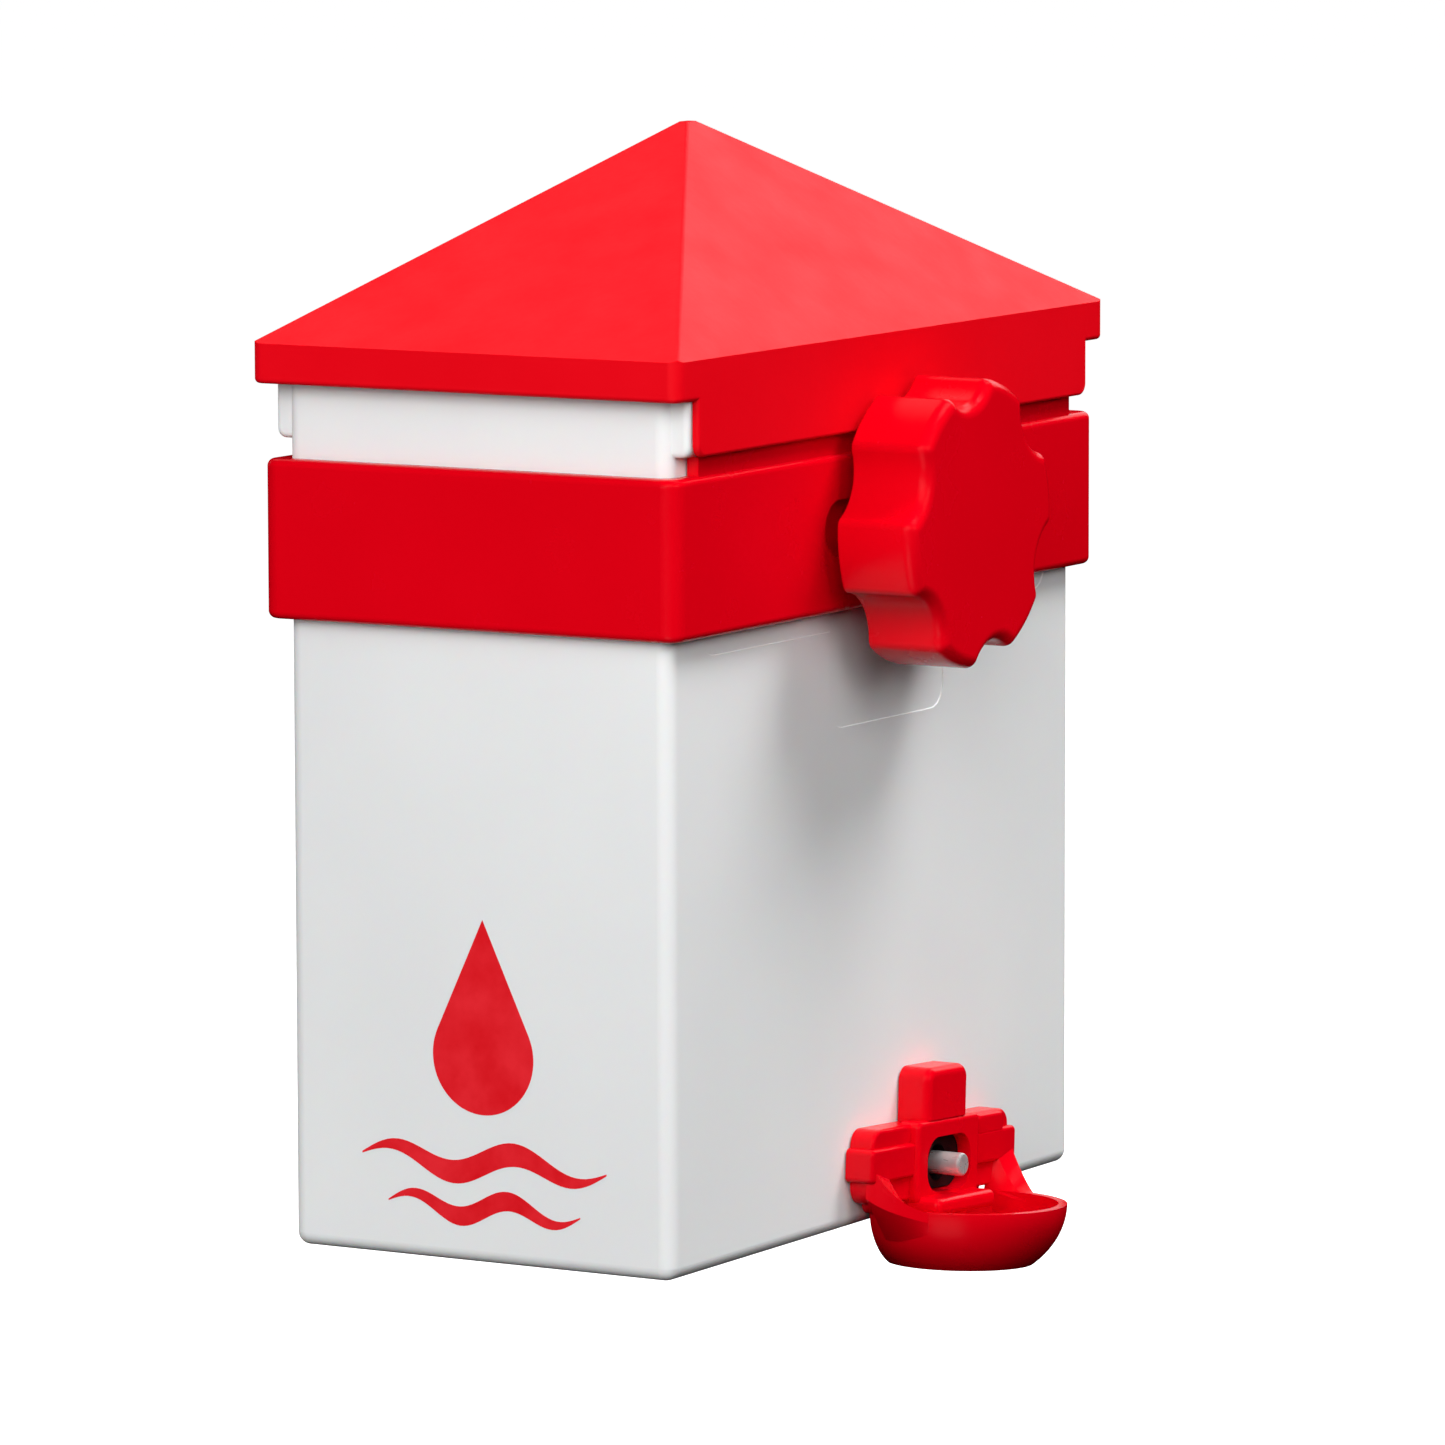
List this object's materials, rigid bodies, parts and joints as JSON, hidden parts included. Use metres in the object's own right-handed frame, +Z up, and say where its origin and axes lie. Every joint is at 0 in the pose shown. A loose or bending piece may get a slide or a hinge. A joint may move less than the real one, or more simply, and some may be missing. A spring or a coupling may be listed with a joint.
{
  "type": "poultry waterer fount",
  "caption": "Cage-mounted rectangular water tank with a hipped lid, a clamp ring and lobed knob, and a nipple with drip cup low on the front.",
  "frame": {"origin": "centre of the tank's flat underside", "axes": "+Z up, -Y towards the front with the clamp knob and drip cup, +X to the right seen from the front"},
  "size_m": [0.1728, 0.1236, 0.2298],
  "materials": {
    "tank_plastic": "satin white moulded plastic",
    "red_plastic": "glossy red moulded plastic",
    "roof_plastic": "fine-grained red moulded plastic",
    "steel": "turned stainless steel",
    "rubber": "moulded black rubber",
    "black_plastic": "matte black moulded plastic",
    "valve_plastic": "natural acetal"
  },
  "bodies": {
    "bracket": {"clamp_ring": "red_plastic"},
    "tank": {"tank": "tank_plastic", "mount_plate": "red_plastic", "drip_cup": "red_plastic", "nipple_body": "black_plastic", "wall_gasket": "rubber", "ring_nut": "black_plastic", "seat_seal": "rubber", "return_spring": "steel", "spring_retainer": "valve_plastic"},
    "lid": {"lid": "roof_plastic"},
    "bolt": {"clamp_bolt": "red_plastic"},
    "washer": {"clamp_washer": "red_plastic"},
    "knob": {"clamp_knob": "red_plastic"},
    "follower": {"spring_follower": "valve_plastic"},
    "pin_washer": {"pin_washer": "steel"},
    "pin": {"trigger_pin": "steel"}
  },
  "joints": [
    {"name": "tank_lift", "type": "slide", "parent": "bracket", "child": "tank", "axis": [0, 0, 1], "range_m": [0, 0.08]},
    {"name": "lid_lift", "type": "slide", "parent": "tank", "child": "lid", "axis": [0, 0, 1], "range_m": [0, 0.06]},
    {"name": "bolt_slide", "type": "slide", "parent": "bracket", "child": "bolt", "axis": [1, 0, 0], "range_m": [-0.02, 0.02]},
    {"name": "knob_travel", "type": "slide", "parent": "bolt", "child": "washer", "axis": [0, -1, 0], "range_m": [-0.0013, 0.007]},
    {"name": "knob_spin", "type": "hinge", "parent": "washer", "child": "knob", "pos_m": [0, -0.05, 0.1415], "axis": [0, -1, 0], "range_deg": [-156, 840]},
    {"name": "pin_push", "type": "slide", "parent": "tank", "child": "follower", "axis": [0, 1, 0], "range_m": [0, 0.0012], "stiffness_N_per_m": 400, "deforming": ["return_spring"]},
    {"name": "pin_tilt_up", "type": "hinge", "parent": "follower", "child": "pin_washer", "pos_m": [0.0162, -0.041, 0.0097], "axis": [1, 0, 0], "range_deg": [-6, 6], "stiffness_Nm_per_rad": 0.05},
    {"name": "pin_tilt_side", "type": "hinge", "parent": "pin_washer", "child": "pin", "pos_m": [0.0162, -0.041, 0.0097], "axis": [0, 0, 1], "range_deg": [-6, 6], "stiffness_Nm_per_rad": 0.05}
  ],
  "couplings": [
    {"joint": "knob_travel", "follows": "knob_spin", "m_per_rad": 0.00047746}
  ]
}
